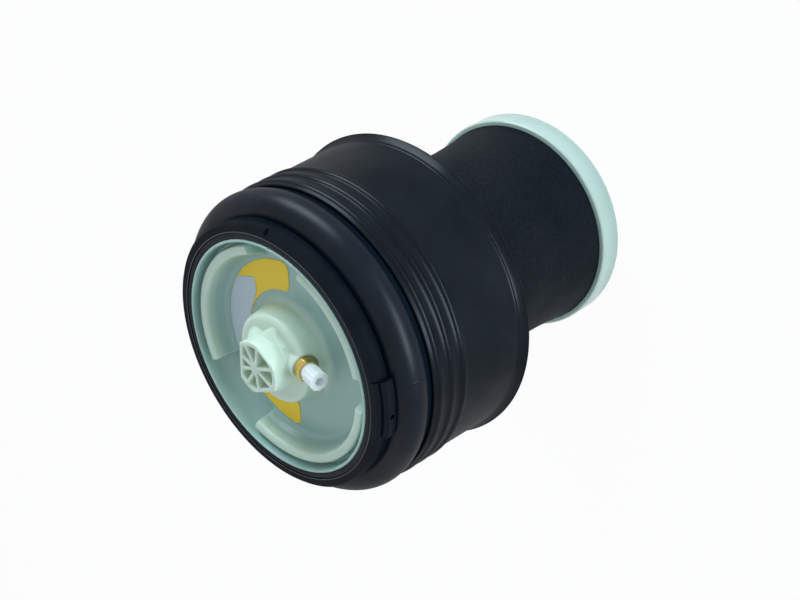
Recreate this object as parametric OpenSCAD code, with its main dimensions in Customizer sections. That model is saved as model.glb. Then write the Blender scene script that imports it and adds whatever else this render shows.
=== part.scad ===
// Air suspension spring with an outer guide: natural nylon top cap, rubber
// bellows, black guide tube, black rolling piston and natural nylon base.
// Millimetres, +Z up, origin at the centre of the base's underside.
// The air port points to +X.

/* [Overall] */
// height of the cap's rim and hub face above the base's underside
rim_z = 216; // [210:1:226]
// depth from the rim to the top end of the outer guide
guide_drop = 28.5; // [28:0.5:30]
// length of the outer guide, top end to rolled lip
guide_len = 68; // [64:0.5:70]
// depth from the rim to the top of the piston
piston_drop = 57.5; // [56:0.5:60]

/* [Piston] */
// outside radius of the piston where the bellows rolls
piston_r = 60.5; // [58:0.5:63]
// how far the piston's foot flares outwards
foot_flare = 4.1; // [3:0.1:4.6]
// height at which the flare ends
flare_top_z = 66; // [50:1:90]
// wall thickness of the piston
piston_wall = 3.5; // [3:0.25:3.75]
// radius of the piston's rounded shoulder
shoulder_r = 6; // [5:0.5:6.5]
// step from the piston's side in to the neck that the bellows is clamped on
neck_step = 10.5; // [10:0.25:11.5]
// height of the clamp neck above the shoulder
neck_h = 10.5; // [10:0.5:12]
// wall around the pocket for the bump stop
pocket_wall = 3; // [2.5:0.25:3.5]
// ring of deck between the pocket's wall and the neck's wall
air_gap = 5.5; // [5:0.25:7]
// depth of the pocket for the bump stop
pocket_depth = 46; // [40:1:52]
// number of air holes in the piston's top
air_holes = 8; // [4:1:12]

/* [Base] */
// how far the base stands out beyond the piston's foot
base_lip = 3.1; // [2.4:0.1:4]
// height of the base's rim
base_h = 15; // [13:0.5:17]
// depth of the recesses in the base's underside
base_recess = 3.6; // [3:0.1:3.8]
// thickness of the base's deck above the recesses
base_deck_t = 5; // [4:0.5:6]
// thickness of the base's skirt
base_skirt_t = 5; // [4:0.5:6]
// radius of the base's centre boss
base_boss_r = 15; // [13:0.5:18]
// radius of the centre locating bore
base_bore_r = 6.5; // [5:0.25:8]
// depth of the centre locating bore
base_bore_len = 12; // [10:0.5:14]
// radius of the small anti-turn bore
index_bore_r = 4; // [3:0.25:5]
// depth of the small anti-turn bore
index_bore_len = 10; // [8:0.5:12]
// distance of the anti-turn bore from the axis
index_bore_at = 46; // [44:1:48]
// radius of the middle ring that ties the ribs together
base_ring_r = 32; // [28:1:34]
// number of ribs under the deck
base_ribs = 12; // [8:2:16]
// thickness of a rib under the deck
base_rib_t = 2.6; // [2:0.2:3.4]

/* [Top cap] */
// outside radius of the cap's rim
rim_r = 65; // [63:0.25:67]
// width of the rim's top
rim_w = 1.6; // [1.4:0.1:2.2]
// depth of the dish floor below the rim
dish_depth = 15; // [14:0.5:16]
// thickness of the dish floor
dish_floor_t = 3.5; // [3:0.25:3.75]
// gap between the rim's inner wall and an arc rib
rib_gap = 2.8; // [2.4:0.1:3.2]
// width of an arc rib's top
arc_rib_w = 4.6; // [4:0.2:5.2]
// depth of an arc rib's top below the rim
arc_rib_drop = 2.5; // [2:0.25:4]
// depth of the groove between rim and arc rib
rib_groove = 8; // [7:0.5:10]
// radius of the hub's face
hub_r = 25.2; // [24.6:0.2:26]
// radius of the hollow inside the hub
hub_hollow_r = 13; // [11:0.5:14]
// height of the hollow inside the hub above the dish's underside
hub_hollow_h = 4.5; // [4:0.25:5]

/* [Clamp ring] */
// how far the clamp ring stands outside the cap's rim
ring_reach = 9; // [8.4:0.1:9.4]
// height of the clamp ring
ring_h = 9.3; // [8.8:0.1:9.4]
// width of the clamp ring's bevel on the side of the port
bevel_w = 3.2; // [2.4:0.1:4]
// depth of that bevel
bevel_drop = 3.4; // [2.4:0.1:4.4]
// how far the raised block stands outside the clamp ring
block_reach = 3; // [2.4:0.1:3.6]
// angle that the raised block spans
block_angle = 24; // [18:1:30]
// radius of the small hole in the block
block_hole_r = 1.4; // [1:0.1:1.8]

/* [Bellows] */
// thickness of the rolling lobe
lobe_t = 2.1; // [1.7:0.1:2.4]
// height of the lobe's centre above the guide's lip
lobe_rise = 8; // [7:0.5:12]
// thickness of the fold below the clamp ring
fold_t = 3; // [2.6:0.1:3.3]
// centreline radius of the fold's bulge
fold_r = 8.9; // [8.5:0.1:9.3]
// thickness of the bellows' clamped end between rim and ring
fold_clamp_t = 3.3; // [3:0.1:3.5]

/* [Guide] */
// how far the guide's crimped end stands outside the cap's rim
guide_reach = 19.2; // [18.4:0.1:20]
// step from the crimped end out to the plain wall
wall_step = 1; // [0.8:0.1:1.4]
// taper of the plain wall down to the lip
wall_taper = 2.2; // [1.4:0.1:2.4]
// how far the rolled lip stands outside the wall
lip_reach = 3; // [2.4:0.1:3.4]
// sheet thickness of the guide
guide_t = 1.7; // [1.4:0.1:2]
// how far the first crimp bead stands out of the crimped end
bead_reach = 1.8; // [1.7:0.1:2.2]
// distance between crimp beads
bead_pitch = 8.5; // [8:0.1:9]
// depth from the guide's top end to the first bead
bead_drop = 5; // [4.8:0.1:5.5]
// wall of the support ring inside the crimp
support_t = 3.2; // [2.6:0.1:3.6]
// length of the support ring
support_len = 26; // [24:0.5:28]

/* [Bump stop] */
// radius of the bump stop's body
bump_r = 25; // [23:0.5:26]
// height of the bump stop above the piston's top
bump_rise = 13.5; // [12:0.5:14]
// radius of the air hole through the bump stop
bump_bore_r = 7; // [5:0.5:9]
// depth of a waist in the bump stop
bump_waist = 3.5; // [2.5:0.5:5]
// wall of the cup that holds the bump stop
cup_wall = 3; // [2.4:0.1:3.4]
// height of the cup
cup_h = 10; // [8:0.5:12]

/* [Head] */
// radius of the head's barrel
barrel_r = 15.5; // [15:0.1:16]
// height of the head above the hub's face
head_h = 11.7; // [10:0.1:13]
// depth of the three slanted flats around the head's end
flat_depth = 6; // [4:0.5:7]
// distance from the axis to the nearest flat at the head's end
flat_at = 11.2; // [10.8:0.1:11.8]
// height at which the lug's slope runs out into the barrel
lug_h = 5; // [4:0.2:5.6]
// reach of the lug's horn towards the port
lug_r = 20.6; // [19.6:0.1:21]
// reach of the lug's other horn
lug_far_r = 19.2; // [18.6:0.1:20]
// radius of the bottom of the notch between the horns
lug_notch_r = 15; // [15:0.1:16]
// radius of the outer wall of the pockets
pocket_wall_r = 12.6; // [12:0.1:13]
// thickness of the wall behind a flat
flat_wall = 1.7; // [1.4:0.1:2]
// thickness of a rib between two pockets
head_rib_t = 1.9; // [1.6:0.1:2.1]
// depth of the pockets in the head's end
head_pocket = 8; // [6:0.5:8.5]

/* [Air port] */
// angle of the port above the horizontal
port_tilt = 15; // [14:0.5:16]
// distance of the port's seat from the axis, along X
port_x = 21.5; // [21.2:0.1:22]
// sideways offset of the port's axis
port_y = 4.5; // [4:0.1:5]
// depth of the centre of the port's seat below the rim
port_drop = 2.3; // [2.2:0.1:2.7]
// radius of the port's boss
port_boss_r = 7.1; // [7:0.1:7.9]
// radius of the thread's core in the port
port_thread_r = 5; // [4.9:0.05:5]
// radius of the brass collar
collar_r = 6.35; // [6.1:0.05:6.6]
// length of the brass collar
collar_h = 3.9; // [3.7:0.1:4.3]
// radius of the tube socket
socket_r = 3.1; // [3:0.05:3.1]

/* [Transport plug] */
// radius of the plug's head next to the collar
plug_r = 4.7; // [4.5:0.1:4.8]
// step from the plug's collar out to its fluted grip
plug_flare = 0.4; // [0.3:0.1:0.6]
// length of the plain collar on the plug's head
plug_step = 2.4; // [1.6:0.2:3]
// length of the plug's head
plug_len = 10.8; // [9:0.2:12]
// number of grip flutes around the plug
plug_flutes = 10; // [8:1:12]

/* [Labels] */
// thickness of a label
label_t = 0.3; // [0.2:0.05:0.35]
// gap between the yellow label and what stands beside it, arc ribs outside and hub inside
label_gap = 1.6; // [1.2:0.1:2.4]

/* [Hidden] */
$fn = 96;
// gap that keeps curved faces of one fit from touching
fit = 0.05;
// radial clearance of a face that only rests on its neighbour
rest_gap = 0.1;
// small overshoot for a cut
over = 1;

// top cap
dish_z = rim_z - dish_depth;
dish_under_z = dish_z - dish_floor_t;
dish_wall_r = rim_r - rim_w;
dish_fillet = 10;
hub_round = 3;
hub_flare = 1;
hub_fillet = 5;
arc_rib_r = dish_wall_r - rib_gap;
arc_rib_foot = 5;

// clamp ring
ring_bore_r = rim_r + fold_clamp_t + 2 * fit;
ring_r = rim_r + ring_reach;
block_r = ring_r + block_reach;
ring_top_z = rim_z - 0.4;
ring_bottom_z = ring_top_z - ring_h;
ring_chamfer = 1.2;

// guide and crimp
guide_r = rim_r + guide_reach;
guide_wall_r = guide_r + wall_step;
guide_foot_r = guide_wall_r + wall_taper;
lip_r = guide_foot_r + lip_reach;
guide_top_z = rim_z - guide_drop;
guide_lip_z = guide_top_z - guide_len;
crimp_bore_r = guide_r - guide_t;
crimp_bottom_z = guide_top_z - bead_drop - 2 * bead_pitch - 6;
support_top_z = guide_top_z - 1.5;
support_r = crimp_bore_r - lobe_t - 2 * fit;

// rolling lobe
lobe_z = guide_lip_z + lobe_rise;
lobe_out_r = guide_wall_r - guide_t - rest_gap;
lobe_in_r = piston_r + fit;
lobe_mid_r = (lobe_out_r + lobe_in_r) / 2;
lobe_roll_r = (lobe_out_r - lobe_in_r) / 2;

// piston
piston_foot_r = piston_r + foot_flare;
neck_r = piston_r - neck_step;
pocket_r = neck_r - piston_wall - air_gap - pocket_wall;
air_hole_r = air_gap / 2 - 0.6;
piston_top_z = rim_z - piston_drop;
shoulder_z = piston_top_z - neck_h;
pocket_z = piston_top_z - pocket_depth;
deck_t = 3.5;
piston_bore_r = piston_foot_r - piston_wall;

// base
base_r = piston_foot_r + base_lip;
seal_section_r = 0.95;
spigot_h = 9;
spigot_r = piston_bore_r - 0.2;
spigot_t = 3.4;
seal_z = base_h + 5;

// rib arcs as middle angle and span, in degrees
arc_ribs = [[157, 98], [302, 107], [42, 58]];
// middle angle of the clamp ring's raised block, and where the bevel ends
block_at = 2.5;
bevel_end = 90;

// head on the hub
horn_at = 80;
notch_at = 108;
far_horn_at = 132;
flats = [[176, flat_at], [298, flat_at + 1.2], [56, flat_at + 2.4]];
head_ribs = [-160, -121, -84, -27, 22, 80, 120, 160, 200];
head_top_z = rim_z + head_h;

// air port, along its own axis from the seat
port_z = rim_z - port_drop;
port_seal_t = 0.7;
shank_len = 11;
port_step = shank_len + 0.95;
chamber_r = 3.7;
chamber_end = 20;
cage_end = 17.4;
cage_floor_t = 1.4;
poppet_travel = 1;
stem_r = 0.7;
passage_r = 1.8;
socket_depth = 6;
sleeve_r = passage_r - fit;
groove_r = 4.4;
poppet_r = 2.4;
poppet_t = 1.2;
cage_bore_r = 2.6;

// labels
label_r = arc_rib_r - arc_rib_w - arc_rib_foot - label_gap;
label_in_r = hub_r + hub_flare + hub_fillet + label_gap;

nylon = [0.72, 0.86, 0.82];
black = [0.07, 0.08, 0.09];
rubber = [0.09, 0.1, 0.11];
brass = [0.78, 0.62, 0.25];

// points on a circle, from one angle to another
function arc(x, y, r, from, to, steps = 8) =
    [for (i = [0 : steps]) let (a = from + (to - from) * i / steps)
        [x + r * cos(a), y + r * sin(a)]];

// flare of the piston's foot, radius at a height
function flare(z) =
    piston_r + (piston_foot_r - piston_r) * pow((flare_top_z - z) / (flare_top_z - base_h), 2);

// point at an angle and a distance from the axis
function polar(a, r) = [r * cos(a), r * sin(a)];

module at_port() {
    translate([port_x, port_y, port_z])
        rotate([0, 90 - port_tilt, 0])
            children();
}

// tube along the port's axis, between two distances from the seat
module port_tube(outer, inner, from, to) {
    translate([0, 0, from])
        difference() {
            cylinder(r = outer, h = to - from);
            translate([0, 0, -over])
                cylinder(r = inner, h = to - from + 2 * over);
        }
}

// dish, rim and hub in one outline
module cap_body() {
    rotate_extrude()
        polygon(concat(
            [[0, dish_under_z + hub_hollow_h],
             [hub_hollow_r, dish_under_z + hub_hollow_h],
             [hub_hollow_r, dish_under_z],
             [rim_r - 3, dish_under_z],
             [rim_r, dish_under_z + 3],
             [rim_r, rim_z - 0.4],
             [rim_r - 0.4, rim_z],
             [dish_wall_r + 0.4, rim_z],
             [dish_wall_r, rim_z - 0.4]],
            arc(dish_wall_r - dish_fillet, dish_z + dish_fillet, dish_fillet, 0, -90, 8),
            arc(hub_r + hub_flare + hub_fillet, dish_z + hub_fillet, hub_fillet, 270, 180, 6),
            arc(hub_r - hub_round, rim_z - hub_round, hub_round, 0, 90, 5),
            [[0, rim_z]]
        ));
}

// one arc rib, tied to the rim by the floor of its groove, soft on its inner side
module arc_rib(middle, span) {
    top_z = rim_z - arc_rib_drop;
    inner = arc_rib_r - arc_rib_w;
    rotate([0, 0, middle - span / 2])
        rotate_extrude(angle = span)
            polygon([
                [inner - arc_rib_foot, dish_z - 1],
                [inner - arc_rib_foot, dish_z + 0.1],
                [inner - 3.2, dish_z + 2],
                [inner - 1.8, dish_z + 5.5],
                [inner - 0.6, top_z - 1.2],
                [inner, top_z - 0.4],
                [inner + 0.6, top_z],
                [arc_rib_r - 0.6, top_z],
                [arc_rib_r, top_z - 0.6],
                [arc_rib_r, rim_z - rib_groove],
                [dish_wall_r + 0.5, rim_z - rib_groove],
                [dish_wall_r + 0.5, dish_z - 1]
            ]);
}

// outline of the lug at the head's foot, with a notch between two horns
module lug_outline() {
    polygon([
        [0, 0],
        polar(0, barrel_r - 0.2),
        polar(20, barrel_r + 0.7),
        polar(35, barrel_r + 1.4),
        polar(50, barrel_r + 2),
        polar(64, barrel_r + 2.1),
        polar(horn_at - 8, lug_r - 2.1),
        polar(horn_at - 3, lug_r - 0.5),
        polar(horn_at, lug_r),
        polar(horn_at + 4, lug_r - 0.3),
        polar(horn_at + 8, lug_r - 1.4),
        polar(notch_at - 4, lug_notch_r + 1.2),
        polar(notch_at, lug_notch_r),
        polar(notch_at + 5, lug_notch_r + 0.9),
        polar(far_horn_at - 6, lug_far_r - 0.6),
        polar(far_horn_at, lug_far_r),
        polar(far_horn_at + 7, lug_far_r - 0.2),
        polar(far_horn_at + 15, lug_far_r - 1.6),
        polar(far_horn_at + 34, barrel_r - 0.2)
    ]);
}

// pocket between two ribs of the head
module head_pocket_outline(from, to) {
    span = to - from;
    middle = (from + to) / 2;
    core = 2.2;
    apex = head_rib_t / 2 / sin(span / 2);
    far = 2 * barrel_r;
    intersection() {
        difference() {
            circle(r = pocket_wall_r);
            circle(r = core);
            for (flat = flats)
                rotate([0, 0, flat[0]])
                    translate([flat[1] - flat_wall, -far])
                        square([far, 2 * far]);
        }
        rotate([0, 0, middle])
            translate([apex, 0])
                polygon([[0, 0], polar(-span / 2, far), polar(span / 2, far)]);
    }
}

// barrel with its lug, three slanted flats and pockets between ribs
module head() {
    notch_r = 1.5;
    lug_slope = (lug_r - barrel_r + 1.8) / lug_h;
    intersection() {
        translate([0, 0, rim_z - over])
            linear_extrude(lug_h + over)
                lug_outline();
        translate([0, 0, rim_z - over])
            cylinder(r1 = lug_r + 1 + lug_slope * over, r2 = barrel_r - 0.8, h = lug_h + over);
    }
    difference() {
        translate([0, 0, rim_z - over])
            cylinder(r = barrel_r, h = head_h + over);
        for (flat = flats)
            rotate([0, 0, flat[0]])
                translate([flat[1], -barrel_r, head_top_z])
                    rotate([0, -atan((barrel_r - flat[1]) / flat_depth), 0])
                        translate([0, 0, -2 * flat_depth])
                            cube([barrel_r, 2 * barrel_r, 4 * flat_depth]);
        for (i = [0 : len(head_ribs) - 2])
            translate([0, 0, head_top_z - head_pocket])
                linear_extrude(head_pocket + over)
                    head_pocket_outline(head_ribs[i], head_ribs[i + 1]);
        // small notches in two flats, where ribs meet them
        for (a = [flats[0][0] + 24, flats[1][0] - 20])
            rotate([0, 0, a])
                translate([flat_at + 2.6, 0, head_top_z - flat_depth / 2])
                    cylinder(r = notch_r, h = flat_depth);
    }
}

module top_cap() {
    color(nylon)
        difference() {
            union() {
                cap_body();
                for (rib = arc_ribs)
                    arc_rib(rib[0], rib[1]);
                head();
                at_port()
                    translate([0, 0, -port_step])
                        cylinder(r = port_boss_r, h = port_step);
            }
            at_port() {
                translate([0, 0, -port_step])
                    cylinder(r = port_thread_r + fit, h = port_step + over);
                translate([0, 0, -chamber_end])
                    cylinder(r = chamber_r, h = chamber_end - port_step + over);
                // seat cut into the hub's edge for the collar
                cylinder(r = port_boss_r, h = collar_h + plug_len);
            }
            // air passage from the hub's hollow up to the valve chamber
            translate([port_x - 17.5 * cos(port_tilt), port_y, dish_under_z])
                cylinder(r = 2.4, h = port_z - dish_under_z - 18 * sin(port_tilt));
        }
}

module ring_block() {
    rotate([0, 0, block_at])
        difference() {
            rotate([0, 0, -block_angle / 2])
                rotate_extrude(angle = block_angle)
                    polygon([
                        [ring_r - 3, ring_bottom_z],
                        [block_r - 0.6, ring_bottom_z],
                        [block_r, ring_bottom_z + 0.6],
                        [block_r, ring_top_z - 4],
                        [block_r - 1.6, ring_top_z - 2.4],
                        [ring_r - 3, ring_top_z - 2.4]
                    ]);
            rotate([0, 0, -3])
                translate([block_r - 4, 0, ring_bottom_z + ring_h / 3])
                    rotate([0, 90, 0])
                        cylinder(r = block_hole_r, h = 4 + over);
        }
}

module clamp_ring() {
    from = block_at + block_angle / 2;
    color(black) {
        difference() {
            rotate_extrude()
                polygon([
                    [ring_bore_r + ring_chamfer, ring_bottom_z],
                    [ring_r - 0.5, ring_bottom_z],
                    [ring_r, ring_bottom_z + 0.5],
                    [ring_r, ring_top_z - 1.4],
                    [ring_r - 1.4, ring_top_z],
                    [ring_bore_r, ring_top_z],
                    [ring_bore_r, ring_bottom_z + ring_chamfer]
                ]);
            // bevel from the block round to its end
            rotate([0, 0, from])
                rotate_extrude(angle = bevel_end - from)
                    polygon([
                        [ring_r, ring_top_z - bevel_drop],
                        [ring_r + over, ring_top_z - bevel_drop],
                        [ring_r + over, ring_top_z + over],
                        [ring_r - bevel_w, ring_top_z + over],
                        [ring_r - bevel_w, ring_top_z]
                    ]);
        }
        ring_block();
    }
}

// rubber fold that lets the cap tilt, clamped under the ring
module bellows_fold() {
    half = fold_t / 2;
    turn_r = 2.9;
    strip_r = rim_r + fit;
    over_z = ring_bottom_z - fit - half;
    end_r = crimp_bore_r - fit - lobe_t / 2;
    // bulge ends where it turns down into the guide's mouth
    end_angle = -36;
    bulge_r = end_r - fold_r * cos(end_angle);
    bulge_z = over_z - fold_r;
    corner_r = strip_r + fold_clamp_t / 2;
    color(rubber)
        rotate_extrude()
            polygon(concat(
                [[strip_r + fold_clamp_t, ring_top_z - 0.2],
                 [strip_r, ring_top_z - 0.2]],
                arc(corner_r + turn_r, over_z + turn_r, turn_r + fold_clamp_t / 2, 180, 262, 5),
                arc(bulge_r, bulge_z, fold_r - half, 90, end_angle, 12),
                [[end_r - lobe_t / 2, guide_top_z + fit],
                 [end_r + lobe_t / 2, guide_top_z + fit]],
                arc(bulge_r, bulge_z, fold_r + half, end_angle, 90, 12),
                [[strip_r + fold_clamp_t + ring_chamfer, over_z + half],
                 [strip_r + fold_clamp_t, over_z + half + ring_chamfer]]
            ));
}

// one crimp bead in the guide's outline: a long rise, a round crest and a narrow crease
function bead(foot_r, reach, z) = concat(
    [[foot_r + reach * 0.15, z + 4],
     [foot_r + reach * 0.4, z + 2.6]],
    arc(foot_r + reach - 1.6, z, 1.6, 60, -60, 6),
    [[foot_r - 0.1, z - 2.3],
     [foot_r - 0.1, z - 2.9]]
);

// tube with a turned-in end, three crimp beads and a rolled lip
module outer_guide() {
    first = guide_top_z - bead_drop;
    second = first - bead_pitch;
    third = second - bead_pitch;
    lip_roll = 2.7;
    lip_mid_r = lip_r - lip_roll;
    lip_mid_z = guide_lip_z + lip_roll;
    color(black)
        rotate_extrude()
            polygon(concat(
                [[crimp_bore_r, guide_top_z - 0.6],
                 [crimp_bore_r + 0.3, guide_top_z],
                 [guide_r - 1, guide_top_z],
                 [guide_r - 0.3, guide_top_z - 0.4]],
                bead(guide_r, bead_reach, first),
                bead(guide_r + 0.35, bead_reach + 0.15, second),
                bead(guide_r + 0.7, bead_reach + 0.3, third),
                [[guide_wall_r, third - 4.5],
                 [guide_foot_r, lip_mid_z + 5]],
                arc(lip_mid_r, lip_mid_z, lip_roll, 105, -90, 10),
                [[lip_mid_r - 0.8, guide_lip_z + 0.4],
                 [guide_foot_r - guide_t + 0.2, lip_mid_z],
                 [guide_foot_r - guide_t, lip_mid_z + 5],
                 [guide_wall_r - guide_t, crimp_bottom_z],
                 [crimp_bore_r, crimp_bottom_z + 2]]
            ));
}

// ring that the bellows is crimped onto, inside the guide
module support_ring() {
    inner = support_r - support_t;
    bottom_z = support_top_z - support_len;
    color([0.62, 0.64, 0.66])
        rotate_extrude()
            polygon([
                [inner, bottom_z + 1],
                [inner + 1, bottom_z],
                [support_r - 1, bottom_z],
                [support_r, bottom_z + 1],
                [support_r, support_top_z - 1],
                [support_r - 1, support_top_z],
                [inner + 1, support_top_z],
                [inner, support_top_z - 1]
            ]);
}

// rolling lobe, from the crimp down the guide, round and up onto the neck
module bellows_lobe() {
    crimp_out = crimp_bore_r - fit;
    crimp_in = crimp_out - lobe_t;
    wall_out = lobe_out_r;
    wall_in = lobe_out_r - lobe_t;
    side_in = lobe_in_r;
    side_out = lobe_in_r + lobe_t;
    shoulder_mid_r = piston_r - shoulder_r;
    shoulder_mid_z = shoulder_z - shoulder_r;
    clamp_in = neck_r + fit;
    turn_z = shoulder_z + fit + lobe_t + 2.05;
    turn_mid_r = clamp_in + lobe_t + 2.05;
    leave_z = crimp_bottom_z - 4;
    color(rubber)
        rotate_extrude()
            polygon(concat(
                [[crimp_in, guide_top_z],
                 [crimp_out, guide_top_z],
                 [crimp_out, leave_z + 3],
                 [wall_out, leave_z - 6]],
                arc(lobe_mid_r, lobe_z, lobe_roll_r, 0, -180, 18),
                [[side_in, shoulder_mid_z]],
                arc(shoulder_mid_r, shoulder_mid_z, shoulder_r + fit, 0, 90, 6),
                arc(turn_mid_r, turn_z, lobe_t + 2.05, 270, 180, 5),
                [[clamp_in, piston_top_z - 0.5],
                 [clamp_in + lobe_t, piston_top_z - 0.5]],
                arc(turn_mid_r, turn_z, 2.05, 180, 270, 5),
                arc(shoulder_mid_r, shoulder_mid_z, shoulder_r + fit + lobe_t, 90, 0, 6),
                [[side_out, lobe_z]],
                arc(lobe_mid_r, lobe_z, lobe_roll_r - lobe_t, -180, 0, 18),
                [[wall_in, leave_z - 6],
                 [crimp_in, leave_z + 3]]
            ));
}

// rolling piston with its flared foot, clamp neck and bump stop pocket
module piston() {
    foot_z = base_h + fit;
    inner_r = piston_r - piston_wall;
    shoulder_mid_r = piston_r - shoulder_r;
    color(black)
        difference() {
            rotate_extrude()
                polygon(concat(
                    [[piston_foot_r - 0.6, foot_z],
                     [piston_foot_r, foot_z + 0.6]],
                    [for (i = [1 : 10]) let (z = foot_z + (flare_top_z - foot_z) * i / 10)
                        [flare(z), z]],
                    arc(shoulder_mid_r, shoulder_z - shoulder_r, shoulder_r, 0, 90, 6),
                    [[neck_r, shoulder_z],
                     [neck_r, piston_top_z - 0.6],
                     [neck_r - 0.6, piston_top_z],
                     [pocket_r + 1, piston_top_z],
                     [pocket_r, piston_top_z - 1],
                     [pocket_r, pocket_z],
                     [0, pocket_z],
                     [0, pocket_z - deck_t],
                     [pocket_r + pocket_wall, pocket_z - deck_t],
                     [pocket_r + pocket_wall, piston_top_z - deck_t],
                     [neck_r - piston_wall, piston_top_z - deck_t],
                     [neck_r - piston_wall, shoulder_z - piston_wall],
                     [shoulder_mid_r - 0.5, shoulder_z - piston_wall],
                     [inner_r, shoulder_z - shoulder_r],
                     [inner_r, flare_top_z],
                     [piston_bore_r, base_h + spigot_h + 4],
                     [piston_bore_r, foot_z]]
                ));
            for (i = [0 : air_holes - 1])
                rotate([0, 0, 360 / air_holes * i])
                    translate([pocket_r + pocket_wall + air_gap / 2, 0, piston_top_z - deck_t - over])
                        cylinder(r = air_hole_r, h = deck_t + 2 * over);
        }
}

// steel ring that clamps the bellows onto the piston's neck
module piston_clamp_ring() {
    inner = neck_r + 2 * fit + lobe_t;
    bottom_z = shoulder_z + fit + lobe_t + 2.4;
    top_z = piston_top_z - 0.6;
    color([0.55, 0.56, 0.58])
        rotate_extrude()
            polygon([
                [inner, bottom_z],
                [inner + 1.6, bottom_z],
                [inner + 2.2, bottom_z + 0.6],
                [inner + 2.2, top_z - 0.6],
                [inner + 1.6, top_z],
                [inner, top_z]
            ]);
}

module base_ribs_below() {
    length = base_r - base_skirt_t - base_boss_r + 2;
    for (i = [0 : base_ribs - 1])
        rotate([0, 0, 360 / base_ribs * (i + 0.5)])
            translate([base_boss_r - 1, -base_rib_t / 2, 0.6])
                cube([length, base_rib_t, base_recess]);
}

// base with deck, skirt, shallow ribs below, and a spigot that carries the piston
module piston_base() {
    ring_t = 2.6;
    deck_z = base_recess + base_deck_t;
    seal_groove = 1.3;
    seal_floor_r = spigot_r - 2 * seal_section_r;
    color(nylon)
        difference() {
            union() {
                rotate_extrude()
                    polygon([
                        [0, base_recess],
                        [base_r - base_skirt_t, base_recess],
                        [base_r - base_skirt_t, 0],
                        [base_r - 0.6, 0],
                        [base_r, 0.6],
                        [base_r - 0.3, base_h - 0.8],
                        [base_r - 1.1, base_h],
                        [spigot_r, base_h],
                        [spigot_r, seal_z - seal_groove],
                        [seal_floor_r, seal_z - seal_groove],
                        [seal_floor_r, seal_z + seal_groove],
                        [spigot_r, seal_z + seal_groove],
                        [spigot_r, base_h + spigot_h - 1],
                        [spigot_r - 1, base_h + spigot_h],
                        [spigot_r - spigot_t, base_h + spigot_h],
                        [spigot_r - spigot_t, deck_z],
                        [0, deck_z]
                    ]);
                cylinder(r = base_boss_r, h = deck_z);
                cylinder(r = base_boss_r - 4, h = base_bore_len + 3);
                translate([index_bore_at, 0, 0])
                    cylinder(r = index_bore_r + 3, h = index_bore_len + 3);
                base_ribs_below();
                translate([0, 0, 0.6])
                    difference() {
                        cylinder(r = base_ring_r + ring_t, h = base_recess);
                        translate([0, 0, -over])
                            cylinder(r = base_ring_r, h = base_recess + over);
                    }
            }
            translate([0, 0, -over])
                cylinder(r = base_bore_r, h = base_bore_len + over);
            translate([index_bore_at, 0, -over])
                cylinder(r = index_bore_r, h = index_bore_len + over);
        }
}

module base_seal() {
    color(rubber)
        rotate_extrude()
            translate([spigot_r - seal_section_r, seal_z])
                circle(r = seal_section_r - 0.01);
}

// cellular bump stop with three waists, standing in its cup
module bump_stop() {
    foot_z = pocket_z + cup_wall + 2 * fit;
    foot_r = bump_r + cup_wall;
    foot_h = cup_h - cup_wall;
    top_z = piston_top_z + bump_rise;
    step = (top_z - foot_z - foot_h - 4) / 3;
    color([0.2, 0.2, 0.2])
        rotate_extrude()
            polygon(concat(
                [[bump_bore_r, foot_z],
                 [foot_r, foot_z],
                 [foot_r, foot_z + foot_h - 2],
                 [bump_r, foot_z + foot_h + 1]],
                [for (i = [0 : 2]) each [
                    [bump_r, foot_z + foot_h + 2 + step * i],
                    [bump_r - bump_waist, foot_z + foot_h + 2 + step * (i + 0.5)],
                    [bump_r, foot_z + foot_h + 2 + step * (i + 1)]]],
                [[bump_r - 3, top_z],
                 [bump_bore_r + 2, top_z],
                 [bump_bore_r, top_z - 3]]
            ));
}

// plastic cup that holds the bump stop's foot on the pocket floor
module bump_stop_cup() {
    floor_z = pocket_z + fit;
    bore_r = bump_r + cup_wall + 3 * fit;
    color(black)
        rotate_extrude()
            polygon([
                [bump_bore_r + 1, floor_z],
                [bore_r + cup_wall, floor_z],
                [bore_r + cup_wall, floor_z + cup_h - 1],
                [bore_r + cup_wall - 1, floor_z + cup_h],
                [bore_r + 1, floor_z + cup_h],
                [bore_r, floor_z + cup_h - 1.5],
                [bore_r, floor_z + cup_wall],
                [bump_bore_r + 1, floor_z + cup_wall]
            ]);
}

// brass body screwed into the port, with a socket for the air line
module fitting_body() {
    from = port_seal_t;
    front = from + collar_h;
    color(brass)
        at_port()
            rotate_extrude()
                polygon([
                    [passage_r, -shank_len],
                    [port_thread_r - 0.8, -shank_len],
                    [port_thread_r, -shank_len + 0.8],
                    [port_thread_r, from],
                    [collar_r - 0.45, from],
                    [collar_r - 0.45, fit],
                    [collar_r, fit],
                    [collar_r, front - 1],
                    [collar_r - 1, front],
                    [plug_r - 0.4, front],
                    [plug_r - 0.8, front - 0.6],
                    [socket_r, front - 0.6],
                    [socket_r, 2.6],
                    [groove_r, 2.6],
                    [groove_r, 0.6],
                    [socket_r, 0.6],
                    [socket_r, -1.2],
                    [groove_r, -1.2],
                    [groove_r, -3.2],
                    [socket_r, -3.2],
                    [socket_r, -socket_depth],
                    [passage_r, -socket_depth]
                ]);
}

module port_seal() {
    section = port_seal_t / 2 - 0.02;
    color(rubber)
        at_port()
            rotate_extrude()
                translate([port_thread_r + port_seal_t / 2 + fit, port_seal_t / 2])
                    circle(r = section);
}

module tube_seal() {
    section = (groove_r - socket_r) / 2;
    color(rubber)
        at_port()
            rotate_extrude()
                translate([socket_r + section, -2.2])
                    circle(r = section - 0.02);
}

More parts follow.
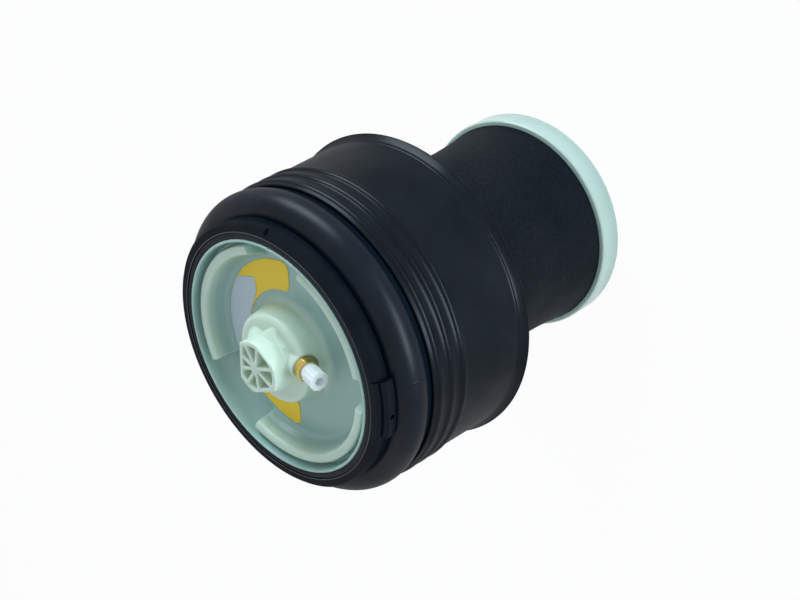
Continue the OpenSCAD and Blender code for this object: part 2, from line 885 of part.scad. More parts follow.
// split ring whose edge bites the air line
module grip_ring() {
    color(brass)
        at_port()
            difference() {
                port_tube(groove_r - fit, socket_r + fit, 0.8, 2.4);
                translate([socket_r - 1, -0.5, 0])
                    cube([groove_r, 1, 4]);
            }
}

// thin sleeve that keeps the air line round, seated on the passage's step
module support_sleeve() {
    color(brass)
        at_port()
            difference() {
                union() {
                    translate([0, 0, -9])
                        cylinder(r = sleeve_r, h = 11.5);
                    translate([0, 0, -socket_depth])
                        cylinder(r = socket_r - 0.3, h = 0.6);
                }
                translate([0, 0, -9 - over])
                    cylinder(r = sleeve_r - 0.5, h = 11.5 + 2 * over);
            }
}

// cage that carries the residual pressure valve behind the fitting
module valve_cage() {
    air_slot_r = 0.35;
    color(black)
        at_port()
            difference() {
                rotate_extrude()
                    polygon([
                        [stem_r + fit, -cage_end],
                        [chamber_r - fit, -cage_end],
                        [chamber_r - fit, -port_step],
                        [port_thread_r - fit, -port_step],
                        [port_thread_r - fit, -shank_len - fit],
                        [cage_bore_r, -shank_len - fit],
                        [cage_bore_r, -cage_end + cage_floor_t],
                        [stem_r + fit, -cage_end + cage_floor_t]
                    ]);
                for (i = [0 : 5])
                    rotate([0, 0, 60 * i])
                        translate([cage_bore_r - air_slot_r - 0.1, 0, -cage_end - over])
                            cylinder(r = air_slot_r, h = cage_floor_t + 2 * over);
            }
}

// poppet that closes on the end of the fitting
module valve_poppet() {
    face = -shank_len - fit;
    color(rubber)
        at_port() {
            translate([0, 0, face - poppet_t])
                cylinder(r = poppet_r, h = poppet_t);
            translate([0, 0, -cage_end + poppet_travel])
                cylinder(r = stem_r, h = cage_end - poppet_travel + face - poppet_t / 2);
        }
}

module valve_spring() {
    wire = 0.45;
    coil_r = 1.6;
    turns = 4;
    from = -cage_end + cage_floor_t + 0.03;
    to = -shank_len - fit - poppet_t - 0.03;
    length = to - from - wire;
    // the section is drawn flat, as wide in degrees as the wire is high on the coil
    half_span = 180 * wire * turns / length;
    color([0.7, 0.71, 0.73])
        at_port()
            translate([0, 0, from + wire / 2])
                linear_extrude(length, twist = -360 * turns, slices = 56, $fn = 8)
                    polygon(concat(
                        [for (i = [-3 : 3]) let (a = half_span * i / 3)
                            (coil_r + wire / 2 * sqrt(1.06 - i * i / 9)) * [cos(a), sin(a)]],
                        [for (i = [-3 : 3]) let (a = -half_span * i / 3)
                            (coil_r - wire / 2 * sqrt(1.06 - i * i / 9)) * [cos(a), sin(a)]]
                    ));
}

// plug that closes the socket until the spring is fitted
module transport_plug() {
    face = port_seal_t + collar_h;
    stem_len = face + socket_depth - 0.9;
    recess = 4;
    color([0.93, 0.95, 0.96])
        at_port()
            difference() {
                union() {
                    translate([0, 0, face - stem_len])
                        cylinder(r = socket_r - 2 * fit, h = stem_len + over);
                    translate([0, 0, face])
                        cylinder(r = plug_r, h = plug_step);
                    translate([0, 0, face + plug_step])
                        linear_extrude(plug_len - plug_step)
                            difference() {
                                circle(r = plug_r + plug_flare);
                                for (i = [0 : plug_flutes - 1])
                                    rotate([0, 0, 360 / plug_flutes * i])
                                        translate([plug_r + plug_flare + 0.5, 0])
                                            circle(r = 0.9);
                            }
                }
                // blind bore that clears the support sleeve
                translate([0, 0, face - stem_len - over])
                    cylinder(r = sleeve_r + 0.15, h = stem_len - 1 + over);
                translate([0, 0, face + plug_len - recess])
                    cylinder(r = 2.5, h = recess + over, $fn = 6);
            }
}

// one end of the yellow label, a straight cut with rounded corners
function label_end(a, turn, outer, inner) = [
    polar(a + 5.2 * turn, outer),
    polar(a + 2.6 * turn, outer - 0.6),
    polar(a + 0.9 * turn, outer - 2),
    polar(a, outer - 4.4),
    polar(a, inner + 3.4),
    polar(a + 2 * turn, inner + 1),
    polar(a + 5.4 * turn, inner)
];

// curved label on the dish floor, around half of the hub
module label_yellow() {
    from = 91;
    to = 273;
    last = label_end(to, -1, label_r, label_in_r);
    first = label_end(from, 1, label_r, label_in_r);
    color([0.9, 0.76, 0.15])
        translate([0, 0, dish_z])
            linear_extrude(label_t)
                polygon(concat(
                    arc(0, 0, label_r, from + 7, to - 7, 40),
                    last,
                    arc(0, 0, label_in_r, to - 7, from + 7, 32),
                    [for (i = [6 : -1 : 0]) first[i]]
                ));
}

// small sticker over the yellow label
module label_white() {
    inset = 0.4;
    from = 146;
    to = 214;
    outer = label_r - inset;
    inner = label_in_r + inset;
    color([0.85, 0.87, 0.9])
        translate([0, 0, dish_z + label_t])
            linear_extrude(label_t)
                polygon(concat(
                    arc(0, 0, outer, from, to, 16),
                    arc(0, 0, inner, to, from + 6, 12),
                    [polar(from - 9, inner + 2.6), polar(from - 15, outer - 7)]
                ));
}

top_cap();
clamp_ring();
bellows_fold();
outer_guide();
support_ring();
bellows_lobe();
piston();
piston_clamp_ring();
piston_base();
base_seal();
bump_stop();
bump_stop_cup();
fitting_body();
port_seal();
tube_seal();
grip_ring();
support_sleeve();
valve_cage();
valve_poppet();
valve_spring();
transport_plug();
label_yellow();
label_white();
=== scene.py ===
import math

import bmesh
import bpy
from mathutils import Matrix, Vector


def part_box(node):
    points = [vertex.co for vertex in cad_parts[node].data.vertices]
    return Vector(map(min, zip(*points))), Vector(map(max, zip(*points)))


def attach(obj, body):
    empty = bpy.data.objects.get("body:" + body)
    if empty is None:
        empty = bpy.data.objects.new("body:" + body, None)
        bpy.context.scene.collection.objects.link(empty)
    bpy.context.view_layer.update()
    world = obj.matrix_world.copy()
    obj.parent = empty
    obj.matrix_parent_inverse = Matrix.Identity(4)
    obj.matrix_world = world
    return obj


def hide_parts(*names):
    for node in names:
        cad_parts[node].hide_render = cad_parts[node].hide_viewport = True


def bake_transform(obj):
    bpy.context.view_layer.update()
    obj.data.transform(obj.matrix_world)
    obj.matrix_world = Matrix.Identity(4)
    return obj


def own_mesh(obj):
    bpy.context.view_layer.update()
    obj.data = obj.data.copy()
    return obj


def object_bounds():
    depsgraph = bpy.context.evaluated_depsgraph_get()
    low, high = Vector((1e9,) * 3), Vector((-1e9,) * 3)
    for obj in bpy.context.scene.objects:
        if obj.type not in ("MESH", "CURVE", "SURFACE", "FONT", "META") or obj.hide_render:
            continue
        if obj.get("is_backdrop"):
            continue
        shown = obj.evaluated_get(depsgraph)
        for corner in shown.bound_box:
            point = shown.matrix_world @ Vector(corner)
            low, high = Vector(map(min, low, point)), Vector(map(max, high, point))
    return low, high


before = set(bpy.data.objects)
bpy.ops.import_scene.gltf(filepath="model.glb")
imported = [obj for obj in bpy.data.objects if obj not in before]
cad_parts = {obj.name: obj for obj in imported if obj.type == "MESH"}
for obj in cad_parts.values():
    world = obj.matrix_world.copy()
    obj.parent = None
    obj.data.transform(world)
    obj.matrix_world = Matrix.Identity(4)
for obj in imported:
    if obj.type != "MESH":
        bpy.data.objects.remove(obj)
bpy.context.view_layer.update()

# The camera looks down on the top cap and is rolled, so that the spring's axis runs
# from the lower left of the picture to its upper right, as the spring lies in the photograph.
scene = bpy.context.scene
scene.view_settings.view_transform = "Standard"
camera_place = Vector((0.3523, 0.3096, 0.5073))
camera_back = Vector((0.575, 0.518, 0.633)).normalized()
picture_level = Vector((0.740, 0, -0.673))
camera_up = camera_back.cross(picture_level).normalized()
camera_right = camera_up.cross(camera_back).normalized()
camera_turn = Matrix((camera_right, camera_up, camera_back)).transposed()
lens = bpy.data.cameras.new("camera")
lens.lens = 48.47
lens.sensor_width = 36
lens.clip_start = 0.01
lens.clip_end = 40
camera = bpy.data.objects.new("camera", lens)
camera.matrix_world = Matrix.Translation(camera_place) @ camera_turn.to_4x4()
scene.collection.objects.link(camera)
scene.camera = camera

# Studio: two large soft lamps around the spring and a plain sky, as in a light tent. The sky is
# white to the camera, in gloss and through clear plastic, and dimmer where it lights the spring.
spring_middle = Vector((0, 0, 0.14))
lamp_tint = (0.74, 0.9, 1)
sky_tint, sky_light = (0.82, 0.94, 1, 1), 0.58
white = (1, 1, 1, 1)


def softbox(name, away, size, watts):
    """a lamp that stands away from the spring's middle and faces it, upright in the picture"""
    light = bpy.data.lights.new(name, "AREA")
    light.shape = "RECTANGLE"
    light.size, light.size_y = size
    light.energy = watts
    light.color = lamp_tint
    holder = bpy.data.objects.new(name, light)
    back = away.normalized()
    across = camera_up.cross(away).normalized()
    facing = Matrix((across, back.cross(across), back)).transposed()
    holder.matrix_world = Matrix.Translation(spring_middle + away) @ facing.to_4x4()
    scene.collection.objects.link(holder)


class Wire:
    """An output of a node. A sum, difference or product with it adds a Math node."""

    def __init__(self, tree, socket):
        self.tree = tree
        self.socket = socket

    def maths(self, operation, *values):
        return self.tree.node("ShaderNodeMath", {"operation": operation}, dict(enumerate(values)))

    def __add__(self, other):
        return self.maths("ADD", self, other)

    def __sub__(self, other):
        return self.maths("SUBTRACT", self, other)

    def __rsub__(self, other):
        return self.maths("SUBTRACT", other, self)

    def __mul__(self, other):
        return self.maths("MULTIPLY", self, other)

    __radd__ = __add__
    __rmul__ = __mul__


class Tree:
    """The nodes of a sky or a material. node() adds one and join() feeds a socket."""

    def __init__(self, owner):
        owner.use_nodes = True
        self.nodes = owner.node_tree.nodes
        self.links = owner.node_tree.links

    def node(self, kind, settings, sockets, out=0):
        node = self.nodes.new(kind)
        for key, value in settings.items():
            setattr(node, key, value)
        for key, value in sockets.items():
            self.join(node.inputs[key], value)
        return Wire(self, node.outputs[out])

    def join(self, socket, value):
        if isinstance(value, Wire):
            self.links.new(value.socket, socket)
        else:
            socket.default_value = value

    def background_rays(self):
        """1 on the rays that show the background: straight, in gloss or through clear plastic"""
        rays = ("Is Camera Ray", "Is Glossy Ray", "Is Transmission Ray")
        return sum(self.node("ShaderNodeLightPath", {}, {}, ray) for ray in rays)


softbox("box_above", 0.95 * camera_up - 0.42 * camera_right + 0.35 * camera_back, (0.75, 0.4), 11)
softbox("box_right", 0.78 * camera_right + 0.1 * camera_up + 0.72 * camera_back, (0.3, 1.15), 17)

sky = bpy.data.worlds.new("sky")
scene.world = sky
air = Tree(sky)
air.nodes.remove(air.nodes["Background"])
seen = air.node("ShaderNodeBackground", {}, {"Color": white, "Strength": 1.0})
lit = air.node("ShaderNodeBackground", {}, {"Color": sky_tint, "Strength": sky_light})
tent = air.node("ShaderNodeMixShader", {}, {0: air.background_rays(), 1: lit, 2: seen})
air.join(air.nodes["World Output"].inputs["Surface"], tent)

# Floor: a wide pale board that the spring stands on. It keeps a soft shadow at the base
# and is nearly white to the camera.
floor_half, floor_drop = 12, 0.0002
floor_glow = 0.95
sharp_bend = math.radians(50)


class Finish(Tree):
    """A material around one Principled shader. Its constants are set on their own sockets."""

    def __init__(self, name, **constants):
        self.made = bpy.data.materials.new(name)
        super().__init__(self.made)
        self.shader = self.nodes["Principled BSDF"]
        for key, value in constants.items():
            self.feed(key.replace("_", " ").title().replace("Ior", "IOR"), value)
        self.place = self.node("ShaderNodeTexCoord", {}, {}, "Object")

    def feed(self, name, value):
        """a value or a wire for a socket of the shader"""
        self.join(self.shader.inputs[name], value)

    def scaled(self, factors):
        """the place on the piece, with a factor for each direction"""
        sockets = {0: self.place, 1: factors}
        return self.node("ShaderNodeVectorMath", {"operation": "MULTIPLY"}, sockets)

    def grain(self, size, detail=2.0, place=None):
        """noise around 0.5 whose lumps are about size metres wide"""
        sockets = {"Vector": place or self.place, "Scale": 1 / size, "Detail": detail}
        return self.node("ShaderNodeTexNoise", {}, sockets)

    def step(self, value, low, high):
        """0 below low, 1 above high, smooth between them"""
        sockets = {"Value": value, "From Min": low, "From Max": high}
        return self.node("ShaderNodeMapRange", {"interpolation_type": "SMOOTHSTEP"}, sockets)

    def dye(self, share, first, second):
        """a colour between two, by a share from 0 to 1"""
        return self.node("ShaderNodeMix", {"data_type": "RGBA"}, {0: share, 6: first, 7: second}, 2)

    def height(self, value, depth):
        """a Bump node whose full height is depth metres"""
        sockets = {"Height": value, "Distance": depth, "Strength": 1.0}
        return self.node("ShaderNodeBump", {}, sockets)

    def put_on(self, *pieces):
        for piece in pieces:
            piece.data.materials.clear()
            piece.data.materials.append(self.made)


def paint(red, green, blue):
    """a colour as a picture shows it, 0 to 255, for a shader: the sRGB curve taken back"""
    shares = (red / 255, green / 255, blue / 255)
    return tuple(((s + 0.055) / 1.055) ** 2.4 if s > 0.04045 else s / 12.92 for s in shares) + (1,)


def piece_from(name, points, faces, smooth=True):
    """a piece from points and faces, smooth apart from its sharp bends"""
    mesh = bpy.data.meshes.new(name)
    mesh.from_pydata(points, [], faces)
    work = bmesh.new()
    work.from_mesh(mesh)
    bmesh.ops.recalc_face_normals(work, faces=work.faces)
    work.to_mesh(mesh)
    work.free()
    mesh.polygons.foreach_set("use_smooth", [smooth] * len(mesh.polygons))
    mesh.set_sharp_from_angle(angle=sharp_bend)
    piece = bpy.data.objects.new(name, mesh)
    scene.collection.objects.link(piece)
    return piece


corners = [(x * floor_half, y * floor_half) for x, y in ((-1, -1), (1, -1), (1, 1), (-1, 1))]
floor = piece_from("floor", [(x, y, -floor_drop) for x, y in corners], [(0, 1, 2, 3)])
floor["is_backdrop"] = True
board = Finish("floor_board", roughness=0.8)
board.feed("Base Color", board.dye(board.grain(0.3), paint(243, 244, 245), paint(246, 247, 248)))
board_shader = Wire(board, board.shader.outputs[0])
glow = board.node("ShaderNodeEmission", {}, {"Color": white, "Strength": 1.0})
glow_share = board.background_rays() * floor_glow
both = board.node("ShaderNodeMixShader", {}, {0: glow_share, 1: board_shader, 2: glow})
board.join(board.nodes["Material Output"].inputs["Surface"], both)
board.put_on(floor)

# Piston base: a pale disc of unfilled nylon, moulded in one piece with its skirt and spigot.
# The piston is pushed over the spigot and welded to it.
thin_z, thick_z = 0.001, 0.012


def between(share, low, high):
    """a value between two, by a share from 0 to 1"""
    return low + share * (high - low)


def height_of(finish):
    """the height above the floor"""
    return finish.node("ShaderNodeSeparateXYZ", {}, {0: finish.place}, "Z")


def nylon(name, thin, thick, thickness_and_shade):
    """unfilled nylon: waxy, with light just under its skin, darker where its mask is low: where the
    wall is thin, and on the cap also as painted shade
    """
    finish = Finish(
        name,
        subsurface_weight=0.6,
        subsurface_radius=(1.0, 1.0, 0.9),
        subsurface_scale=0.005,
        ior=1.5,
    )
    cloud = between(finish.grain(0.011, detail=3.0), -0.175, 0.175)
    # the mask moves the colour from thin to thick; on the cap its low end on the dish floor is
    # partly painted shade
    share = finish.node("ShaderNodeClamp", {}, {0: thickness_and_shade(finish) + cloud})
    finish.feed("Base Color", finish.dye(share, thin, thick))
    finish.feed("Roughness", between(finish.grain(0.004, detail=3.0), 0.24, 0.36))
    skin = finish.grain(0.0009) + finish.grain(0.006, detail=1.0) * 2.0
    finish.feed("Normal", finish.height(skin, depth=0.00002))
    return finish


def base_thickness(finish):
    """0 on the thin rim that the base stands on, 1 on the flange above it"""
    return finish.step(height_of(finish), thin_z, thick_z)


base_nylon = nylon("base_nylon", paint(157, 174, 165), paint(172, 188, 178), base_thickness)
base_nylon.put_on(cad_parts["piston_base"])

# Piston: black glass-filled nylon with a fine pebbled skin from its mould, so that the bellows
# rolls on it without squeaking. Its foot flares out to the base.
pebbles_per_metre, pit_depth = 1000.0, 0.0009
cool_shine = (0.7, 0.88, 1.0, 1)


def black_sheen(name, roughness, wander=0.08, shine=0.0, gloss=0.0, polish=0.3):
    """how a black piece reflects: an uneven roughness, its own shine and a coat of gloss"""
    finish = Finish(name, specular_ior_level=shine, specular_tint=cool_shine)
    patches = finish.grain(0.012, detail=5.0)
    finish.feed("Roughness", between(patches, roughness - wander, roughness + wander))
    if gloss:
        finish.feed("Coat Roughness", polish)
        wide_patches = finish.grain(0.025, detail=4.0)
        finish.feed("Coat Weight", between(wide_patches, gloss * 0.6, gloss * 1.4))
    return finish


pebbled = black_sheen("pebbled_black", roughness=0.5, gloss=0.2, polish=0.4)
pebbles = pebbled.node(
    "ShaderNodeTexVoronoi",
    {"feature": "SMOOTH_F1"},
    {"Vector": pebbled.place, "Scale": pebbles_per_metre},
)
pits = pebbles + pebbled.grain(0.0012, detail=3.0) * 0.7
# painted shade: the pits between pebbles are coloured darker than the pebble tops; the blue in both
# colours is a painted bluish sheen on black plastic
pit_shade = pebbled.step(pits, 0.45, 0.95)
pebbled.feed("Base Color", pebbled.dye(pit_shade, paint(12, 25, 36), paint(3, 9, 14)))
pebbled.feed("Normal", pebbled.height(0.0 - pits, pit_depth))
pebbled.put_on(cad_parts["piston"])

# Seal between the piston and its base: a black rubber ring, which lies in the groove around
# the base's spigot.
cloud_size, cloud_lift = 0.018, 1.4


def black(name, shade, lump, depth, **sheen):
    """a black piece with a cloudy shade, whose skin has lumps of one size"""
    finish = black_sheen(name, **sheen)
    lighter = tuple(c * cloud_lift + 0.001 for c in shade[:3]) + (1,)
    cloud = finish.step(finish.grain(cloud_size, detail=4.0), 0.35, 0.75)
    finish.feed("Base Color", finish.dye(cloud, shade, lighter))
    finish.feed("Normal", finish.height(finish.grain(lump, detail=3.0), depth))
    return finish


seal_black = black(
    "seal_black",
    paint(14, 15, 17),
    lump=0.0006,
    depth=0.00001,
    roughness=0.3,
    shine=0.14,
)
seal_black.put_on(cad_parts["base_seal"])

# Bump stop: a buffer of closed-cell foam that the cap lands on at full travel. It stands in
# a plastic cup on the floor of the piston's pocket.
stop_low, stop_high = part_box("bump_stop")
foot_z, top_z = stop_low[2], stop_high[2]
foot_radius = stop_high[0]
body_radius = foot_radius - 0.003
bore_radius = 0.007
body_z, crown_z = foot_z + 0.011, top_z - 0.005
waist_count, waist_deep, waist_steps = 3, 0.0035, 47
cells_per_metre = 1400.0


def full_turn(steps):
    """the angles of a closed ring"""
    return [2 * math.pi * i / steps for i in range(steps)]


def turned(name, outline, turns=full_turn(192), relief=None, smooth=True):
    """a closed ring made by turning a closed outline of (radius, height) around the axis"""
    count = len(outline)
    points, faces = [], []
    for i, turn in enumerate(turns):
        for radius, z in outline:
            if relief:
                radius += relief(turn, radius, z)
            points.append((radius * math.cos(turn), radius * math.sin(turn), z))
        here, there = i * count, (i + 1) % len(turns) * count
        for j in range(count):
            k = (j + 1) % count
            faces.append((here + j, there + j, there + k, here + k))
    return piece_from(name, points, faces, smooth)


def beside(radius, z, *offsets):
    """points of an outline, in millimetres outwards and upwards from one place"""
    return [(radius + out / 1000, z + up / 1000) for out, up in offsets]


waists = []
for i in range(waist_steps + 1):
    share = i / waist_steps
    dip = waist_deep * abs(math.sin(math.pi * waist_count * share)) ** 0.8
    waists.append((body_radius - dip, body_z + (crown_z - body_z) * share))
stop_line = beside(bore_radius, foot_z, (0, 1), (1, 0))
stop_line += beside(foot_radius, foot_z, (-1, 0), (0, 1), (0, 6), (-1, 8))
stop_line += waists
stop_line += beside(body_radius, top_z, (-0.6, -5), (-2.8, -2.6), (-6.2, -0.9), (-9.8, 0))
stop_line += beside(bore_radius, top_z, (2.5, 0), (0.8, -1.2), (0, -3))
stop = turned("foam_buffer", stop_line)
foam = Finish("cream_foam", roughness=0.75)
foam_cells_and_pore_shade = foam.node("ShaderNodeTexVoronoi", {}, {"Vector": foam.place, "Scale": cells_per_metre})
# painted shade: the hollows of the foam cells are coloured darker than their rims
foam.feed("Base Color", foam.dye(foam_cells_and_pore_shade, paint(150, 128, 82), paint(226, 205, 150)))
foam.feed("Normal", foam.height(foam_cells_and_pore_shade, depth=0.0003))
foam.put_on(stop)
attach(stop, "lower")
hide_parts("bump_stop")
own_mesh(stop)
# the near-black is the plastic's own colour; the blue in it is a painted bluish sheen
plain_black = black(
    "plain_black",
    paint(7, 14, 21),
    lump=0.0008,
    depth=0.00001,
    roughness=0.42,
    gloss=0.16,
)
plain_black.put_on(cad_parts["bump_stop_cup"])

# Rolling lobe of the bellows: rubber on fine crossed cords. It runs from the crimp down
# inside the guide, rolls over below it and goes up the piston to the clamp neck.
wall, clear = 0.0021, 0.00005
guide_low, guide_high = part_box("outer_guide")
guide_end_z, guide_top_z = guide_low[2], guide_high[2]
lobe_low, lobe_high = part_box("bellows_lobe")
piston_top_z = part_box("piston")[1][2]
piston_radius, shoulder_round = 0.0605, 0.006
side_radius = piston_radius + clear
outer_radius = lobe_high[0]
roll_radius = (outer_radius - side_radius) / 2
roll_middle = (outer_radius + side_radius) / 2
roll_z = lobe_low[2] + roll_radius
crimp_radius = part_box("support_ring")[1][0] + wall + clear
crimp_long = 0.029
leave_z = guide_top_z - crimp_long
neck_radius, neck_high, neck_bend = 0.050 + clear, 0.0105, 0.00205
shoulder_z = piston_top_z - neck_high
side_top_z, shoulder_radius = shoulder_z - shoulder_round, piston_radius - shoulder_round
bend_z = shoulder_z + clear + wall + neck_bend
lobe_end_z = piston_top_z - 0.0005


def bow(x, z, radius, start, end, steps):
    """points of an arc in an outline, its angles in degrees"""
    turns = [math.radians(start + (end - start) * i / steps) for i in range(steps + 1)]
    return [(x + radius * math.cos(a), z + radius * math.sin(a)) for a in turns]


def run(radius, from_z, to_z, steps=12):
    """points straight up or down in an outline"""
    return [(radius, from_z + (to_z - from_z) * i / steps) for i in range(steps + 1)]


def rubber(name):
    """moulded bellows rubber: smooth, a little oily, with a faint cloudiness"""
    finish = Finish(name, specular_ior_level=0.0, coat_roughness=0.36)
    cloud = finish.step(finish.grain(0.03, detail=5.0), 0.3, 0.7)
    # the near-black is the rubber's own colour; the blue in it is a painted bluish sheen
    finish.feed("Base Color", finish.dye(cloud, paint(3, 11, 19), paint(5, 16, 27)))
    finish.feed("Coat Weight", between(finish.grain(0.02, detail=4.0), 0.24, 0.48))
    finish.feed("Roughness", between(finish.grain(0.009, detail=5.0), 0.34, 0.54))
    skin = finish.grain(0.0007) + finish.grain(0.012) * 3.0
    finish.feed("Normal", finish.height(skin, depth=0.00002))
    return finish


bellows_rubber = rubber("bellows_rubber")

# The lobe's outer wall hangs inside the guide. It follows the guide at its upper end and runs
# down to the roll.
outside = beside(crimp_radius, guide_top_z, (0, -0.4))
outside += beside(crimp_radius, leave_z, (0, 4), (0.3, 2))
outside += beside(outer_radius, leave_z, (-0.3, -3))
outside += run(outer_radius, leave_z - 0.005, roll_z)
outer_wall = turned("bellows_outer_wall", outside + [(r - wall, z) for r, z in reversed(outside)])
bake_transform(outer_wall)

# The roll itself always moves half as far as the piston.
roll_line = bow(roll_middle, roll_z, roll_radius, 0, -180, 32)
roll_line += bow(roll_middle, roll_z, roll_radius - wall, -180, 0, 32)
roll = turned("bellows_roll", roll_line)
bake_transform(roll)

# The inner wall lies on the piston's side, bends in over its shoulder and stands up around
# the clamp neck. It follows the piston from the shoulder upwards.
air_side = run(side_radius + wall, roll_z, side_top_z)
air_side += bow(shoulder_radius, side_top_z, shoulder_round + clear + wall, 0, 90, 8)[1:]
air_side += bow(neck_radius + wall + neck_bend, bend_z, neck_bend, 270, 180, 5)
air_side += [(neck_radius + wall, lobe_end_z)]
piston_side = [(neck_radius, lobe_end_z)]
piston_side += bow(neck_radius + wall + neck_bend, bend_z, wall + neck_bend, 180, 270, 5)
piston_side += bow(shoulder_radius, side_top_z, shoulder_round + clear, 90, 0, 8)
piston_side += run(side_radius, side_top_z, roll_z)[1:]
inner_wall = turned("bellows_inner_wall", air_side + piston_side)
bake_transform(inner_wall)
for part in (outer_wall, roll, inner_wall):
    bellows_rubber.put_on(part)
    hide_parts("bellows_lobe")

# Clamp ring on the piston's neck: a plain band of drawn steel, pressed over the bellows'
# lower end.
metal_spots, dulled = 0.006, 0.86


def bare_metal(name, shade, roughness, spread=(1, 1, 1), depth=0.000004):
    """a worked metal whose fine marks run across the direction that spread stretches"""
    finish = Finish(name, metallic=1.0)
    along = finish.scaled(spread)
    marks = finish.grain(0.0015, detail=6.0, place=along)
    duller = tuple(c * dulled for c in shade[:3]) + (1,)
    spots = finish.step(finish.grain(metal_spots, detail=4.0), 0.45, 0.75)
    finish.feed("Base Color", finish.dye(spots, shade, duller))
    finish.feed("Roughness", between(marks, roughness - 0.125, roughness + 0.125))
    finish.feed("Normal", finish.height(marks, depth))
    return finish


steel = bare_metal("pressed_steel", paint(176, 178, 182), 0.32, spread=(1, 1, 8), depth=0.00002)
steel.put_on(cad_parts["piston_clamp_ring"])

# Support ring inside the crimp: a turned ring of aluminium. The guide's beads squeeze the
# bellows onto it.
aluminium = bare_metal(
    "turned_aluminium",
    paint(205, 207, 210),
    0.28,
    spread=(0.2, 0.2, 8),
    depth=0.00002,
)
aluminium.put_on(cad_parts["support_ring"])

# Outer guide: a black coated aluminium tube that keeps the thin bellows from swelling. Three
# beads are rolled into it to crimp the bellows, and its lower lip is rolled outwards.
sheet = 0.0017
lip_radius = guide_high[0]
end_radius = lip_radius - 0.0062
wall_radius, wall_long = end_radius + 0.001, 0.0375
bead_count, bead_drop, bead_pitch, bead_taper = 3, 0.0046, 0.0085, 0.0004
bead_reach, bead_round, bead_edge = 0.0012, 0.0026, 0.0006
lip_step_z = guide_end_z + 0.0054
flare_steps, flare_out, flare_down = 8, 0.0024, 0.0036
lip_edge = 0.0005


def rolled_bead(tube_radius, crest_z):
    """a bead in the tube's outline: a crease, a long round rise and a steep fall"""
    rise_z = crest_z + bead_round * math.sin(math.radians(50))
    line = beside(tube_radius, rise_z, (0, 0.2), (0.1, 0.1))
    line += bow(tube_radius + bead_reach - bead_round, crest_z, bead_round, 50, 0, 8)
    line += bow(tube_radius + bead_reach - bead_edge, crest_z, bead_edge, -12, -60, 4)
    return line + beside(tube_radius, crest_z, (0.2, -1.3), (0, -1.8))


tube = beside(end_radius - sheet, guide_top_z, (0, -0.6), (0.3, -0.1))
tube += beside(end_radius, guide_top_z, (-0.8, 0), (-0.2, -0.3), (0, -0.5))
for i in range(bead_count):
    tube += rolled_bead(end_radius + bead_taper * i, guide_top_z - bead_drop - bead_pitch * i)
tube += [(wall_radius, lip_step_z + wall_long)]
tube += beside(lip_radius, lip_step_z, (-3.1, 0.6), (-3, 0.3), (-2.7, 0))
tube += beside(lip_radius, lip_step_z, (-2.65, -0.4), (-2.8, -0.8))
for i in range(flare_steps + 1):
    share = i / flare_steps
    flare_radius = lip_radius - 0.0028 + flare_out * share ** 1.2
    tube += [(flare_radius, lip_step_z - 0.0011 - flare_down * share)]
tube += bow(lip_radius - lip_edge - 0.0001, guide_end_z + lip_edge, lip_edge, 30, -90, 5)
tube += beside(lip_radius, guide_end_z, (-2, 0.5), (-4, 2.2), (-4.7, 5))
tube += beside(wall_radius - sheet, leave_z, (0, 0.2)) + beside(end_radius - sheet, leave_z, (0, 2))
guide = turned("guide_tube", tube, full_turn(256))
# the guide's near-black is its own colour; the blue in it is a painted bluish sheen
coated = black(
    "satin_black",
    paint(2, 10, 18),
    lump=0.0005,
    depth=0.000006,
    roughness=0.36,
    wander=0.1,
    gloss=0.28,
    polish=0.28,
)
coated.put_on(guide)
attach(guide, "guide")
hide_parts("outer_guide")

# Fold of the bellows: the upper rubber bulge, which lets the cap tip on the guide. It leaves
# the guide's mouth, bulges out and passes under the clamp ring, with one seam from its mould.
fold_half, fold_round = 0.0015, 0.0089
ring_low, ring_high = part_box("clamp_ring")
ring_top_z = ring_high[2]
over_z = ring_low[2] - clear - fold_half
mouth_radius = crimp_radius - wall / 2
bulge_start, bulge_split = -36, 7
bulge_radius = mouth_radius - fold_round * math.cos(math.radians(bulge_start))
bulge_z = over_z - fold_round
rim_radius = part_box("top_cap")[1][0] + clear
strip_wide, heel = 0.0033, 0.0029
ring_bore = rim_radius + strip_wide
seam_turn, near_seam = math.radians(11), math.radians(0.8)
seam_spread, seam_high = math.radians(0.25), 0.00045
guide_holds_z, fold_middle_z, cap_holds_z = 0.1885, 0.197, 0.2035


def fold_seam(turn, radius, z):
    """a thin flash line down the outside of the bulge"""
    near = max(0.0, 1 - abs(turn - seam_turn) / seam_spread)
    return seam_high * near if radius > bulge_radius + fold_round * 0.6 else 0.0


around_seam = (-0.6, -0.35, -0.2, -0.1, 0, 0.1, 0.2, 0.35, 0.6)
fold_turns = [seam_turn + math.radians(degrees) for degrees in around_seam]
fold_turns += [turn for turn in full_turn(256) if abs(turn - seam_turn) > near_seam]
fold_turns.sort()
lower_line = bow(bulge_radius, bulge_z, fold_round + fold_half, bulge_start, bulge_split, 12)
lower_line += bow(bulge_radius, bulge_z, fold_round - fold_half, bulge_split, bulge_start, 12)
lower_line += [(mouth_radius + half, guide_top_z + clear) for half in (-wall / 2, wall / 2)]
fold_lower = turned("bellows_fold_lower", lower_line, fold_turns, fold_seam)
upper_line = bow(bulge_radius, bulge_z, fold_round + fold_half, bulge_split, 90, 22)
upper_line += beside(ring_bore, over_z + fold_half, (1.2, 0), (0.3, 0.3), (0, 1.2))
upper_line += beside(ring_bore, ring_top_z, (0, -0.4), (-0.4, -0.1))
upper_line += beside(rim_radius, ring_top_z, (0.3, -0.1), (0, -0.4))
heel_radius = heel + strip_wide / 2
upper_line += bow(rim_radius + heel_radius, over_z + heel, heel_radius, 180, 262, 6)
upper_line += bow(bulge_radius, bulge_z, fold_round - fold_half, 90, bulge_split, 22)
fold_upper = turned("bellows_fold_upper", upper_line, fold_turns, fold_seam)
